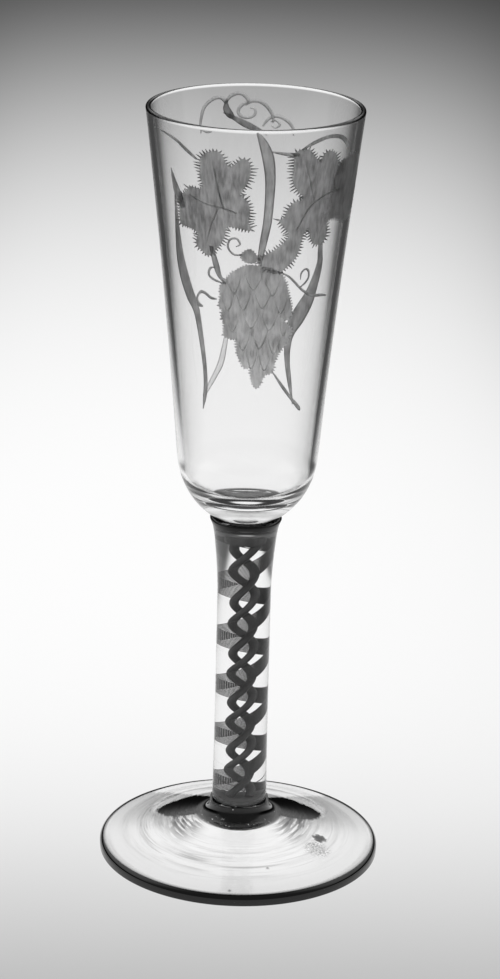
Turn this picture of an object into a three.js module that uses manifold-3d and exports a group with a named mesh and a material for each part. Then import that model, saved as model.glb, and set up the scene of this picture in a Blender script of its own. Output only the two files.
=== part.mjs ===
// Ale glass: a tall tapering bowl, a solid stem with an enamel twist inside it, and a conical foot.
// Millimetres, +Z up. The origin is the centre of the flat ring that the foot rests on.
// The blown bowl, the drawn stem and the spun foot are separate pieces of clear glass, welded end to end.
// Opaque enamel runs through the stem in tunnels: two heavy cords inside a flat band of thin threads.

import * as THREE from 'three';
import { mergeVertices } from 'three/addons/utils/BufferGeometryUtils.js';
import Module from 'manifold-3d';

const wasm = await Module();
wasm.setup();

// Heights of the three glass pieces, which stand on each other
const footHeight = 13.4;
const stemLength = 75.3;
const bowlHeight = 101.3;

// Bowl
const mouthRadius = 25.9;
const shoulderRadius = 17.1;
const shoulderRise = 15.5; // height of the shoulder above the bowl's weld
const shoulderFullness = 2.1; // 2 rounds the shoulder in like an ellipse, and more makes it squarer
const neckRadius = 7.8; // where the bowl meets the stem
const wallBow = 0.41; // how far the wall bends in halfway from shoulder to mouth
const rimWall = 1.3;
const shoulderWall = 1.6;
const bowlBaseThickness = 5.5;
const floorFullness = 3.2; // the same for the inside, which is flatter at its floor

// Stem
const stemWaistRadius = 6.6;
const stemTopRadius = 8.75;
const stemFlareLength = 20;
const stemFlarePower = 1.6;
const stemFootRadius = 6.8;
const stemSwellLength = 27;
const stemBottomRound = 0.6;
const stemTopRound = 0.45;

// Foot
const footRadius = 34.9;
const footEdgeThickness = 2.9;
const restRingInnerRadius = 31.3;
const collarRadius = 10.8; // where the cone turns up to the stem
const collarHeight = 9.6;
const seatRadius = 7.3;
const kickHeight = 7.2; // height of the hollow under the foot
const kickFlatRadius = 10;
const kickSlopeRadius = 18; // the hollow's curve bends most at this radius
const kickSlopeHeight = 3.4;

// Pontil scar: the ring of glass left where the iron was cracked off
const scarRadius = 9.6;
const scarDepth = 1.7;
const scarCentreDepth = 0.7;
const scarRidgeRadius = 7.6;
const scarHollowRadius = 4.6; // the shallow middle, inside the ridge
const scarUnevenness = 0.35;

// Enamel twist, which climbs to the right as seen from outside
const pitchAtFoot = 12.9;
const pitchAtBowl = 16.9;
const pitchPower = 4; // the twist stays even along the stem and slackens near the bowl
const cordRadius = 0.72;
const firstCordTrack = 1.5; // from the axis to the middle of the cord
const secondCordTrack = 1.7;
const cordTracks = [
  { name: 'twist_cord_1', radius: firstCordTrack, startDegrees: 154.7 },
  { name: 'twist_cord_2', radius: secondCordTrack, startDegrees: 299.7 },
];
const bandThreadCount = 7;
const bandRadius = 4.2;
const bandThickness = 0.56;
const bandWidthDegrees = 117;
const bandStartDegrees = 26; // middle of the band, at the stem's foot
const threadSpacing = 0.1; // between neighbouring threads
const tunnelClearance = 0.12; // between the enamel and the glass round it
const endClearance = 0.3; // between the enamel's ends and what they face
const smearRadius = 5.6; // the canes' ends, smeared together over the foot weld
const smearThickness = 1;

// Fineness of the round forms
const bowlSegments = 40;
const stemSegments = 32;
const scarSegments = 28;
const cordSides = 7;
const stepsPerTurn = 11;

// Levels that follow from the heights
const bowlWeld = footHeight + stemLength;
const rimTop = bowlWeld + bowlHeight;
const enamelBottom = footHeight + smearThickness + endClearance;
const enamelTop = bowlWeld - endClearance;

const radians = THREE.MathUtils.degToRad;
const point = (radius, height) => new THREE.Vector2(radius, height);

// Points of a round edge, from one angle to another, both included
function arc(centreRadius, centreHeight, radius, fromDegrees, toDegrees, steps) {
  const points = [];
  for (let i = 0; i <= steps; i += 1) {
    const angle = radians(THREE.MathUtils.lerp(fromDegrees, toDegrees, i / steps));
    points.push(point(centreRadius + radius * Math.cos(angle), centreHeight + radius * Math.sin(angle)));
  }
  return points;
}

// Turns a profile, drawn from the axis outwards and back, into a body that stands along +Z
function turned(profile, segments) {
  const geometry = new THREE.LatheGeometry(profile, segments);
  geometry.rotateX(Math.PI / 2);
  return geometry;
}

// Bowl

function bowlTaper(rise) {
  const share = (rise - shoulderRise) / (bowlHeight - shoulderRise);
  const straight = THREE.MathUtils.lerp(shoulderRadius, mouthRadius, share);
  return straight - 4 * wallBow * share * (1 - share);
}

// Share of the full radius that a rounded bottom has left, this far down from the shoulder
function roundedIn(depth, fullDepth, fullness) {
  const share = THREE.MathUtils.clamp(depth / fullDepth, 0, 1);
  return (1 - share ** fullness) ** (1 / fullness);
}

function bowlOuterRadius(rise) {
  const neckShare = neckRadius / bowlTaper(0);
  const fullDepth = shoulderRise / (1 - neckShare ** shoulderFullness) ** (1 / shoulderFullness);
  return bowlTaper(rise) * roundedIn(shoulderRise - rise, fullDepth, shoulderFullness);
}

function bowlInnerRadius(rise) {
  const share = THREE.MathUtils.clamp((rise - shoulderRise) / (bowlHeight - shoulderRise), 0, 1);
  const wall = THREE.MathUtils.lerp(shoulderWall, rimWall, share);
  const floorDepth = shoulderRise - bowlBaseThickness;
  return (bowlTaper(rise) - wall) * roundedIn(shoulderRise - rise, floorDepth, floorFullness);
}

// Rises from one level to the shoulder, closer together at the bottom, where the wall turns fastest
function risesToShoulder(from, steps) {
  const rises = [];
  for (let i = 0; i < steps; i += 1) {
    rises.push(from + (shoulderRise - from) * (1 - Math.cos((i / steps) * Math.PI / 2)));
  }
  return rises;
}

function risesAboveShoulder(steps) {
  const rises = [];
  for (let i = 0; i < steps; i += 1) {
    rises.push(THREE.MathUtils.lerp(shoulderRise, bowlHeight - rimWall / 2, i / steps));
  }
  return rises;
}

function makeBowl() {
  const outside = [...risesToShoulder(0, 7), ...risesAboveShoulder(5)];
  const inside = [...risesToShoulder(bowlBaseThickness, 6), ...risesAboveShoulder(5)];
  const rim = arc(mouthRadius - rimWall / 2, rimTop - rimWall / 2, rimWall / 2, 0, 180, 4);
  const profile = [
    point(0, bowlWeld),
    ...outside.map((rise) => point(bowlOuterRadius(rise), bowlWeld + rise)),
    ...rim,
    ...inside.reverse().map((rise) => point(bowlInnerRadius(rise), bowlWeld + rise)),
  ];
  return turned(profile, bowlSegments);
}

// Stem

function stemRadius(height) {
  const flare = Math.max(0, (height - (bowlWeld - stemFlareLength)) / stemFlareLength);
  const swell = Math.max(0, (footHeight + stemSwellLength - height) / stemSwellLength);
  const flared = (stemTopRadius - stemWaistRadius) * flare ** stemFlarePower;
  const swollen = (stemFootRadius - stemWaistRadius) * swell ** 2;
  return stemWaistRadius + flared + swollen;
}

function stemProfile() {
  const straightStart = footHeight + stemBottomRound;
  const flareStart = bowlWeld - stemFlareLength;
  const flareEnd = bowlWeld - stemTopRound;
  const heights = [];
  for (let i = 1; i <= 3; i += 1) {
    heights.push(THREE.MathUtils.lerp(straightStart, flareStart, i / 3));
  }
  for (let i = 1; i < 6; i += 1) {
    heights.push(THREE.MathUtils.lerp(flareStart, flareEnd, i / 6));
  }
  const bottomRadius = stemRadius(straightStart) - stemBottomRound;
  const topRadius = stemRadius(flareEnd) - stemTopRound;
  return [
    point(0, footHeight),
    ...arc(bottomRadius, straightStart, stemBottomRound, -90, 0, 3),
    ...heights.map((height) => point(stemRadius(height), height)),
    ...arc(topRadius, flareEnd, stemTopRound, 0, 90, 3),
    point(0, bowlWeld),
  ];
}

// Twist

function pitchAt(height) {
  const share = THREE.MathUtils.clamp((height - footHeight) / stemLength, 0, 1);
  return pitchAtFoot + (pitchAtBowl - pitchAtFoot) * share ** pitchPower;
}

// Angle that the twist has turned through between the stem's foot and a height
function twistAngle(height) {
  const slices = 200;
  const slice = (height - footHeight) / slices;
  let angle = 0;
  for (let i = 0; i < slices; i += 1) {
    angle += (2 * Math.PI * slice) / pitchAt(footHeight + (i + 0.5) * slice);
  }
  return angle;
}

// Everything in the stem was drawn out with it, so the twist widens where the stem does
function drawnScale(height) {
  return stemRadius(height) / stemWaistRadius;
}

function enamelLevels() {
  const steps = Math.ceil(((enamelTop - enamelBottom) / pitchAtFoot) * stepsPerTurn);
  const levels = [];
  for (let i = 0; i <= steps; i += 1) {
    levels.push(THREE.MathUtils.lerp(enamelBottom, enamelTop, i / steps));
  }
  return levels;
}

// The enamel's own levels, with one more past each end, so that a tunnel cuts right through
function tunnelLevels() {
  const levels = enamelLevels();
  return [footHeight - endClearance, ...levels, bowlWeld + endClearance];
}

// Which way a side face's diagonal runs as it climbs: back from the far corner, or on from the near one.
// Round the stem it takes the short way. On a wall that stands out from the axis it starts at the outer
// corner, so that two walls that face each other across a gap bend alike.
function diagonalRunsBack(near, far) {
  const side = far.clone().sub(near);
  const outwards = near.clone().add(far).normalize();
  const around = outwards.cross(side) / side.length();
  return Math.abs(around) > 0.5 ? around > 0 : far.length() > near.length();
}

// A body whose flat section, drawn anticlockwise, turns and widens with the stem as it climbs
function twisted(sectionAt, levels) {
  const positions = [];
  const indices = [];
  let outline = [];
  for (const height of levels) {
    const angle = twistAngle(height);
    const scale = drawnScale(height);
    outline = sectionAt(height);
    for (const corner of outline) {
      const turnedCorner = corner.clone().rotateAround(new THREE.Vector2(0, 0), angle);
      positions.push(turnedCorner.x * scale, turnedCorner.y * scale, height);
    }
  }
  const sides = outline.length;
  for (let level = 0; level < levels.length - 1; level += 1) {
    for (let side = 0; side < sides; side += 1) {
      const next = (side + 1) % sides;
      const low = level * sides;
      const high = low + sides;
      if (diagonalRunsBack(outline[side], outline[next])) {
        indices.push(low + side, low + next, high + side);
        indices.push(low + next, high + next, high + side);
      } else {
        indices.push(low + side, low + next, high + next);
        indices.push(low + side, high + next, high + side);
      }
    }
  }
  const top = (levels.length - 1) * sides;
  for (const [a, b, c] of THREE.ShapeUtils.triangulateShape(outline, [])) {
    indices.push(c, b, a);
    indices.push(top + a, top + b, top + c);
  }
  const geometry = new THREE.BufferGeometry();
  geometry.setAttribute('position', new THREE.Float32BufferAttribute(positions, 3));
  geometry.setIndex(indices);
  return geometry;
}

// A level cut through a leaning round cord is an oval, longer the way that the cord runs
function cordSection(track, radius) {
  const start = radians(track.startDegrees);
  return (height) => {
    const aroundPerTurn = 2 * Math.PI * track.radius * drawnScale(height);
    const lean = Math.hypot(1, aroundPerTurn / pitchAt(height));
    const corners = [];
    for (let i = 0; i < cordSides; i += 1) {
      const angle = ((i + 0.5) / cordSides) * 2 * Math.PI;
      const across = track.radius + radius * Math.cos(angle);
      const along = radius * lean * Math.sin(angle);
      corners.push(new THREE.Vector2(across, along).rotateAround(new THREE.Vector2(0, 0), start));
    }
    return corners;
  };
}

// A flat piece of the band between two angles, with corners along its arcs at the threads' own angles
function bandSection(fromAngle, toAngle, innerRadius, outerRadius, parts) {
  const corners = [];
  for (let i = 0; i <= parts; i += 1) {
    const angle = THREE.MathUtils.lerp(fromAngle, toAngle, i / parts);
    corners.push(new THREE.Vector2(Math.cos(angle), Math.sin(angle)).multiplyScalar(outerRadius));
  }
  for (let i = parts; i >= 0; i -= 1) {
    const angle = THREE.MathUtils.lerp(fromAngle, toAngle, i / parts);
    corners.push(new THREE.Vector2(Math.cos(angle), Math.sin(angle)).multiplyScalar(innerRadius));
  }
  return () => corners;
}

const bandFrom = radians(bandStartDegrees - bandWidthDegrees / 2);
const threadAngle = radians(bandWidthDegrees) / bandThreadCount;

function makeThread(index) {
  const gapAngle = threadSpacing / bandRadius / 2;
  const from = bandFrom + index * threadAngle + gapAngle;
  const to = bandFrom + (index + 1) * threadAngle - gapAngle;
  const section = bandSection(from, to, bandRadius - bandThickness / 2, bandRadius + bandThickness / 2, 1);
  return twisted(section, enamelLevels());
}

function bandTunnel() {
  const sideAngle = tunnelClearance / bandRadius;
  const inner = bandRadius - bandThickness / 2 - tunnelClearance;
  const outer = bandRadius + bandThickness / 2 + tunnelClearance;
  const to = bandFrom + bandThreadCount * threadAngle;
  const section = bandSection(bandFrom - sideAngle, to + sideAngle, inner, outer, bandThreadCount);
  return twisted(section, tunnelLevels());
}

// Disc of a plain height, used for the smeared ends and for the recess that holds them
function disc(radius, bottom, top) {
  return turned([point(0, bottom), point(radius, bottom), point(radius, top), point(0, top)], stemSegments);
}

function makeSmear() {
  return disc(smearRadius, footHeight, footHeight + smearThickness);
}

// Clear glass of the stem, with the tunnels and the recess cut out of it

function toSolid(geometry) {
  const bare = geometry.clone();
  bare.deleteAttribute('normal');
  bare.deleteAttribute('uv');
  const merged = mergeVertices(bare);
  const corners = merged.index.array;
  const triangles = [];
  for (let i = 0; i < corners.length; i += 3) {
    const [a, b, c] = corners.slice(i, i + 3);
    if (a !== b && b !== c && c !== a) {
      triangles.push(a, b, c);
    }
  }
  return new wasm.Manifold(new wasm.Mesh({
    numProp: 3,
    vertProperties: new Float32Array(merged.attributes.position.array),
    triVerts: new Uint32Array(triangles),
  }));
}

function toGeometry(solid) {
  const mesh = solid.getMesh();
  const geometry = new THREE.BufferGeometry();
  geometry.setAttribute('position', new THREE.BufferAttribute(mesh.vertProperties, 3));
  geometry.setIndex(new THREE.BufferAttribute(mesh.triVerts, 1));
  geometry.computeVertexNormals();
  return geometry;
}

function makeStemGlass() {
  const recessTop = footHeight + smearThickness + tunnelClearance;
  const cuts = [
    disc(smearRadius + tunnelClearance, footHeight - endClearance, recessTop),
    bandTunnel(),
    ...cordTracks.map((track) => twisted(cordSection(track, cordRadius + tunnelClearance), tunnelLevels())),
  ];
  let glass = toSolid(turned(stemProfile(), stemSegments));
  for (const cut of cuts) {
    glass = glass.subtract(toSolid(cut));
  }
  return toGeometry(glass);
}

// Foot

function makeFoot() {
  const edgeRound = footEdgeThickness / 2;
  const edge = arc(footRadius - edgeRound, edgeRound, edgeRound, -90, 90, 6);
  const hollow = new THREE.QuadraticBezierCurve(
    point(kickFlatRadius, kickHeight),
    point(kickSlopeRadius, kickSlopeHeight),
    point(restRingInnerRadius, 0),
  );
  const collar = new THREE.QuadraticBezierCurve(
    point(collarRadius, collarHeight),
    point(seatRadius, collarHeight),
    point(seatRadius, footHeight),
  );
  const profile = [
    point(0, kickHeight),
    ...hollow.getPoints(6),
    ...edge,
    ...collar.getPoints(4),
    point(0, footHeight),
  ];
  return turned(profile, bowlSegments);
}

// Pontil scar: a turned ring whose lower side is pushed in and out by a few slow waves
function makeScar() {
  const profile = [
    point(0, kickHeight - scarCentreDepth),
    point(scarHollowRadius, kickHeight - scarCentreDepth),
    point(scarRidgeRadius, kickHeight - scarDepth),
    point(scarRadius, kickHeight - scarDepth / 2),
    point(scarRadius, kickHeight),
    point(0, kickHeight),
  ];
  const geometry = turned(profile, scarSegments);
  const places = geometry.attributes.position;
  for (let i = 0; i < places.count; i += 1) {
    const angle = Math.atan2(places.getY(i), places.getX(i));
    const wave = Math.sin(3 * angle) * 0.6 + Math.sin(5 * angle + 1) * 0.4;
    const onRidge = Math.abs(places.getZ(i) - (kickHeight - scarDepth)) < scarDepth / 4;
    if (onRidge) {
      places.setZ(i, places.getZ(i) + wave * scarUnevenness);
    }
  }
  return geometry;
}

// Assembly

const clearGlass = { color: 0xdfe5e2, roughness: 0.03, metalness: 0, transparent: true, opacity: 0.35 };
const brokenGlass = { color: 0xc2cac6, roughness: 0.35, metalness: 0, transparent: true, opacity: 0.6 };
const enamel = { color: 0x4a4a4b, roughness: 0.55, metalness: 0 };

const glass = new THREE.Group();

function add(name, geometry, finish) {
  const mesh = new THREE.Mesh(geometry, new THREE.MeshStandardMaterial(finish));
  mesh.name = name;
  glass.add(mesh);
}

add('bowl', makeBowl(), clearGlass);
add('stem_glass', makeStemGlass(), clearGlass);
for (const track of cordTracks) {
  add(track.name, twisted(cordSection(track, cordRadius), enamelLevels()), enamel);
}
for (let i = 0; i < bandThreadCount; i += 1) {
  add(`band_thread_${i + 1}`, makeThread(i), enamel);
}
add('twist_end', makeSmear(), enamel);
add('foot', makeFoot(), clearGlass);
add('pontil_scar', makeScar(), brokenGlass);

export default glass;
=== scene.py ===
import math
from functools import partial

import bmesh
import bpy
from mathutils import Matrix, Vector


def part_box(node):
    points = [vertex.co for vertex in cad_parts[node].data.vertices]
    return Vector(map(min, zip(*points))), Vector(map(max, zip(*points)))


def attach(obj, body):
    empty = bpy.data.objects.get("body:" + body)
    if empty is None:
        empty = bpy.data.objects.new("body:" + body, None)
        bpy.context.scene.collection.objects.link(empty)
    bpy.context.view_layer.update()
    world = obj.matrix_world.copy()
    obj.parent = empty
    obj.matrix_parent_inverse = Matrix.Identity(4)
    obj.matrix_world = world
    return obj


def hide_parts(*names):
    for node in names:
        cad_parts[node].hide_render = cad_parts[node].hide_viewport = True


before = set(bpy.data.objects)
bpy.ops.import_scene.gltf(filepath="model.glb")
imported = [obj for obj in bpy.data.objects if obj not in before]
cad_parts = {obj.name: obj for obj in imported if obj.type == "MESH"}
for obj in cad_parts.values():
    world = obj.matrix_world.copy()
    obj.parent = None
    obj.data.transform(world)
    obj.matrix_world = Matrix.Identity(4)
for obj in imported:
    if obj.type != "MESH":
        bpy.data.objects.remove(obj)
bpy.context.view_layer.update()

# Ale glass: tapering bowl engraved with hops and barley, opaque-twist stem, conical foot.
# Everything is in metres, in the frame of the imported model. Z is up, the front faces -Y.

mm = 0.001

bowlLow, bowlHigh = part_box("bowl")
stemLow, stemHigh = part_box("stem_glass")
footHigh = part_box("foot")[1]
scarLow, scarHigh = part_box("pontil_scar")


# Small helpers for node trees

def isSocket(value):
    return isinstance(value, bpy.types.NodeSocket)


def addNode(tree, kind, inputs=None, **settings):
    node = tree.nodes.new(kind)
    for name, value in settings.items():
        setattr(node, name, value)
    for socket, value in (inputs or {}).items():
        if isSocket(value):
            tree.links.new(value, node.inputs[socket])
        else:
            node.inputs[socket].default_value = value
    return node


def fromNode(tree, kind, inputs=None, **settings):
    return addNode(tree, kind, inputs, **settings).outputs[0]


def maths(operation, *values, clamp=False):
    # the node goes into the tree of the first socket among the values
    tree = next(value.id_data for value in values if isSocket(value))
    return fromNode(tree, "ShaderNodeMath", dict(enumerate(values)), operation=operation, use_clamp=clamp)


def inTurn(operation, result, *values):
    for value in values:
        result = maths(operation, result, value)
    return result


plus = partial(inTurn, "ADD")
times = partial(inTurn, "MULTIPLY")
largest = partial(inTurn, "MAXIMUM")
minus = partial(maths, "SUBTRACT")
over = partial(maths, "DIVIDE")
scaled = partial(maths, "MULTIPLY_ADD")  # value, factor, offset
absolute = partial(maths, "ABSOLUTE")


def squared(value):
    return maths("POWER", value, 2.0)


def fading(value):
    return maths("EXPONENT", times(value, -1.0))


def blended(share, low, high):
    difference = minus(high, low) if isSocket(low) or isSocket(high) else high - low
    return scaled(share, difference, low)


def softStep(value, middle, softness):
    # one where the value is well below the middle, none where it is well above
    return over(1.0, plus(1.0, maths("EXPONENT", over(minus(value, middle), softness))))


def pastStep(value, middle, softness):
    return minus(1.0, softStep(value, middle, softness))


def parts(vector):
    return addNode(vector.id_data, "ShaderNodeSeparateXYZ", {0: vector}).outputs


def asVector(tree, x=0.0, y=0.0, z=0.0):
    return fromNode(tree, "ShaderNodeCombineXYZ", {0: x, 1: y, 2: z})


def product(first, second):
    return fromNode(first.id_data, "ShaderNodeVectorMath", {0: first, 1: second}, operation="MULTIPLY")


def reachFromAxis(x, y):
    return maths("SQRT", plus(squared(x), squared(y)))


def objectPlace(tree):
    return addNode(tree, "ShaderNodeTexCoord").outputs["Object"]


def noise(place, size, detail):
    return fromNode(place.id_data, "ShaderNodeTexNoise", {"Vector": place, "Scale": size, "Detail": detail})


def grey(level):
    return level, level, level, 1


def greyShade(level):
    return fromNode(level.id_data, "ShaderNodeCombineColor", {0: level, 1: level, 2: level})


def mixedColour(share, first, second):
    # a colour is a socket, or one number for a grey
    low, high = (colour if isSocket(colour) else grey(colour) for colour in (first, second))
    mixing = addNode(share.id_data, "ShaderNodeMix", {0: share, 6: low, 7: high}, data_type="RGBA")
    return mixing.outputs[2]


def newTree(name, kind, inputs, outputs):
    # each socket comes with its value, or with the name of its type where it has none
    tree = bpy.data.node_groups.new(name, kind)
    types = {int: "Int", float: "Float", tuple: "Color"}
    for direction, sockets in (("INPUT", inputs), ("OUTPUT", outputs)):
        for label, value in sockets.items():
            named = isinstance(value, str)
            socketType = "NodeSocket" + (value if named else types[type(value)])
            socket = tree.interface.new_socket(label, in_out=direction, socket_type=socketType)
            if not named:
                socket.default_value = value
    return tree, tree.nodes.new("NodeGroupInput").outputs, tree.nodes.new("NodeGroupOutput").inputs


def emptyTree(owner):
    owner.use_nodes = True
    owner.node_tree.nodes.clear()
    return owner.node_tree


def addObject(name, data):
    thing = bpy.data.objects.new(name, data)
    bpy.context.scene.collection.objects.link(thing)
    return thing


# Camera, floor, light

photoView = {
    "distanceBack": 740.37 * mm,
    "height": 353.70 * mm,
    "pitch": 0.3360,  # looking down, radians
    "yaw": 0.0011,
    "roll": 0.0249,
    "focalPixels": 3225.7,
    "frameLong": 979,  # the photograph is 500 by 979
    "sensor": 36.0,
    "clipStart": 0.01,
    "clipEnd": 60.0,
}


def makeCamera(v):
    data = bpy.data.cameras.new("camera")
    data.sensor_width = v["sensor"]
    data.sensor_fit = "AUTO"
    data.lens = v["sensor"] * v["focalPixels"] / v["frameLong"]
    data.clip_start = v["clipStart"]
    data.clip_end = v["clipEnd"]
    camera = addObject("camera", data)
    place = Matrix.Translation((0, -v["distanceBack"], v["height"]))
    for angle, axis in ((-v["yaw"], "Z"), (math.pi / 2 - v["pitch"], "X"), (v["roll"], "Z")):
        place @= Matrix.Rotation(angle, 4, axis)
    camera.matrix_world = place
    bpy.context.scene.camera = camera


studio = {  # an edge is given as its place and its softness
    "sideLevel": 0.07,  # behind the glass, beside the pool of light
    "frontLevel": 0.35,
    "frontEdge": (20 * mm, 60 * mm),
    "poolX": -40 * mm,
    "poolY": 205 * mm,
    "poolWide": 390 * mm,
    "poolDeep": 735 * mm,
    "poolPower": 1.25,
    "poolAside": -10 * mm,
    "poolHalf": 122 * mm,  # half of the pool's width
    "poolOpening": 0.035,  # how much that grows with the distance
    "poolNear": (50 * mm, 105 * mm),  # how much wider it is beside the glass, right and left
    "poolMiddle": (0.0, 10 * mm),
    "poolNearDepth": 260 * mm,
    "sideSoftness": 8 * mm,
    "sideSoftening": 0.015,
    "nearEdge": (-46 * mm, 42 * mm),  # where the pool fades out in front of the glass
    "farEdge": (1250 * mm, 150 * mm),  # the lit floor ends here
    "footLightLevel": 1.0,  # the foot gathers light on the floor under it
    "footLight": (21 * mm, 4 * mm),
    "glow": 0.8,  # share of the floor that shines by itself
    "floorRadius": 30.0,
    "floorSides": 96,
    "airGap": 0.1 * mm,  # glass touches a table at a few points only
    "worldDark": 0.01,  # behind the glass
    "panelLow": (0.3, 0.04),  # a lit panel stands behind, between these two heights of view
    "panelHigh": (0.9, 0.04),
    "panelLevel": 0.95,
    "worldPale": 0.2,  # on the camera's side
    "worldTurn": (-0.15, 0.08),
    "skyForDiffuse": 0.68,
}


def poolLevel(x, y, s):
    ahead = largest(y, 0.0)
    nearness = fading(squared(over(ahead, s["poolNearDepth"])))
    gain = blended(softStep(x, *s["poolMiddle"]), *s["poolNear"])
    half = plus(scaled(ahead, s["poolOpening"], s["poolHalf"]), times(nearness, gain))
    soft = scaled(ahead, s["sideSoftening"], s["sideSoftness"])
    across = squared(over(minus(x, s["poolX"]), s["poolWide"]))
    deep = squared(over(largest(minus(y, s["poolY"]), 0.0), s["poolDeep"]))
    back = fading(maths("POWER", plus(across, deep), s["poolPower"]))
    aside = absolute(minus(x, s["poolAside"]))
    pool = times(back, pastStep(y, *s["nearEdge"]), softStep(aside, half, soft))
    around = blended(softStep(y, *s["frontEdge"]), s["sideLevel"], s["frontLevel"])
    return times(blended(pool, around, 1.0), softStep(y, *s["farEdge"]))


def seenByEye(tree):
    # one for the camera and for what mirrors or refracts, none for diffuse light
    path = addNode(tree, "ShaderNodeLightPath").outputs
    both = plus(path["Is Camera Ray"], path["Is Glossy Ray"])
    return maths("ADD", both, path["Is Transmission Ray"], clamp=True)


def makeFloor(s):
    material = bpy.data.materials.new("paleFloor")
    tree = emptyTree(material)
    x, y, _ = parts(objectPlace(tree))
    underFoot = softStep(reachFromAxis(x, y), *s["footLight"])
    colour = greyShade(blended(underFoot, poolLevel(x, y, s), s["footLightLevel"]))
    matte = fromNode(tree, "ShaderNodeBsdfDiffuse", {"Color": colour})
    glowing = fromNode(tree, "ShaderNodeEmission", {"Color": colour, "Strength": 1.0})
    share = times(seenByEye(tree), s["glow"])
    mixed = fromNode(tree, "ShaderNodeMixShader", {0: share, 1: matte, 2: glowing})
    addNode(tree, "ShaderNodeOutputMaterial", {"Surface": mixed})
    mesh = bpy.data.meshes.new("floor")
    shape = bmesh.new()
    bmesh.ops.create_circle(shape, cap_ends=True, segments=s["floorSides"], radius=s["floorRadius"],
                            matrix=Matrix.Translation((0, 0, -s["airGap"])))
    shape.to_mesh(mesh)
    shape.free()
    mesh.materials.append(material)
    addObject("floor", mesh)


def makeWorld(s):
    world = bpy.data.worlds.new("studioWorld")
    tree = emptyTree(world)
    _, ahead, height = parts(addNode(tree, "ShaderNodeTexCoord").outputs["Generated"])
    panel = times(pastStep(height, *s["panelLow"]), softStep(height, *s["panelHigh"]))
    behind = blended(panel, s["worldDark"], s["panelLevel"])
    level = blended(softStep(ahead, *s["worldTurn"]), behind, s["worldPale"])
    shown = fromNode(tree, "ShaderNodeBackground", {"Color": greyShade(level), "Strength": 1.0})
    lit = fromNode(tree, "ShaderNodeBackground", {"Color": grey(1.0), "Strength": s["skyForDiffuse"]})
    mixed = fromNode(tree, "ShaderNodeMixShader", {0: seenByEye(tree), 1: lit, 2: shown})
    addNode(tree, "ShaderNodeOutputWorld", {"Surface": mixed})
    bpy.context.scene.world = world


lamps = {
    "key": {"place": (-0.7, -0.8, 1.1), "size": 0.7, "watts": 6.0},
    "fill": {"place": (0.9, 0.5, 0.9), "size": 0.9, "watts": 3.0},
}
lampAim = Vector((0, 0, 90 * mm))


def makeLamps(settings):
    for name, lamp in settings.items():
        data = bpy.data.lights.new(name, "AREA")
        data.shape = "DISK"
        data.size = lamp["size"]
        data.energy = lamp["watts"]
        light = addObject(name, data)
        light.location = lamp["place"]
        light.rotation_euler = (lampAim - light.location).to_track_quat("-Z", "Y").to_euler()
        light.visible_glossy = False
        light.visible_transmission = False


makeCamera(photoView)
makeFloor(studio)
makeWorld(studio)
makeLamps(lamps)
bpy.context.scene.view_settings.view_transform = "Standard"
print("stage: camera, floor and light")


# Surface effects that more than one material uses

ringsPerMetre = 900.0  # left where the hot glass was turned


def makeWaveGroup():
    # slow unevenness of hand-made glass, longer along Z when Stretch is below one
    inputs = {"Size": 90.0, "Stretch": 0.3, "Turned": 0.0}
    tree, given, out = newTree("glassWaves", "ShaderNodeTree", inputs, {"Height": "Float"})
    place = objectPlace(tree)
    x, y, _ = parts(place)
    drawn = product(place, asVector(tree, 1.0, 1.0, given["Stretch"]))
    along = {"W": times(reachFromAxis(x, y), ringsPerMetre), "Scale": 1.0}
    rings = fromNode(tree, "ShaderNodeTexNoise", along, noise_dimensions="1D")
    height = plus(noise(drawn, given["Size"], detail=2.0), times(rings, given["Turned"]))
    tree.links.new(height, out["Height"])
    return tree


grinding = {
    "lean": 0.5,  # radians
    "shortness": 0.22,  # of a stroke along its own direction
    "cloudSize": 240.0,
    "cloudShare": 1.6,
    "contrast": 2.0,
    "darkening": -1.3,
}


def makeGrindGroup():
    # fine strokes left by a wheel or a broken edge: a height and a grey
    g = grinding
    inputs = {"Size": 2600.0, "Dark": grey(0.1), "Light": grey(0.2)}
    outputs = {"Height": "Float", "Colour": "Color"}
    tree, given, out = newTree("wheelStrokes", "ShaderNodeTree", inputs, outputs)
    place = objectPlace(tree)
    leaning = fromNode(tree, "ShaderNodeMapping", {
        "Vector": place, "Rotation": (0.0, g["lean"], 0.0), "Scale": (1.0, 1.0, g["shortness"]),
    })
    strokes = noise(leaning, given["Size"], detail=3.0)
    cloud = times(noise(place, g["cloudSize"], detail=2.0), g["cloudShare"])
    tone = maths("ADD", scaled(strokes, g["contrast"], g["darkening"]), cloud, clamp=True)
    tree.links.new(strokes, out["Height"])
    tree.links.new(mixedColour(tone, given["Dark"], given["Light"]), out["Colour"])
    return tree


glassWaves = makeWaveGroup()
wheelStrokes = makeGrindGroup()


def newMaterial(name, settings):
    material = bpy.data.materials.new(name)
    material.use_nodes = True
    shader = material.node_tree.nodes["Principled BSDF"]
    for socket, value in settings.items():
        shader.inputs[socket].default_value = value
    return material, material.node_tree, shader


def placeGroup(tree, group, values):
    node = tree.nodes.new("ShaderNodeGroup")
    node.node_tree = group
    for name, value in values.items():
        node.inputs[name].default_value = value
    return node.outputs


def addBump(tree, shader, height, strength, distance):
    bump = fromNode(tree, "ShaderNodeBump", {"Height": height, "Strength": strength, "Distance": distance})
    tree.links.new(bump, shader.inputs["Normal"])


clearGlass = {
    "body": 1.0,  # tint where it is seen square on
    "bumpDistance": 0.1 * mm,
    "settings": {"Transmission Weight": 1.0, "IOR": 1.55, "Roughness": 0.0},
}


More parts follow.
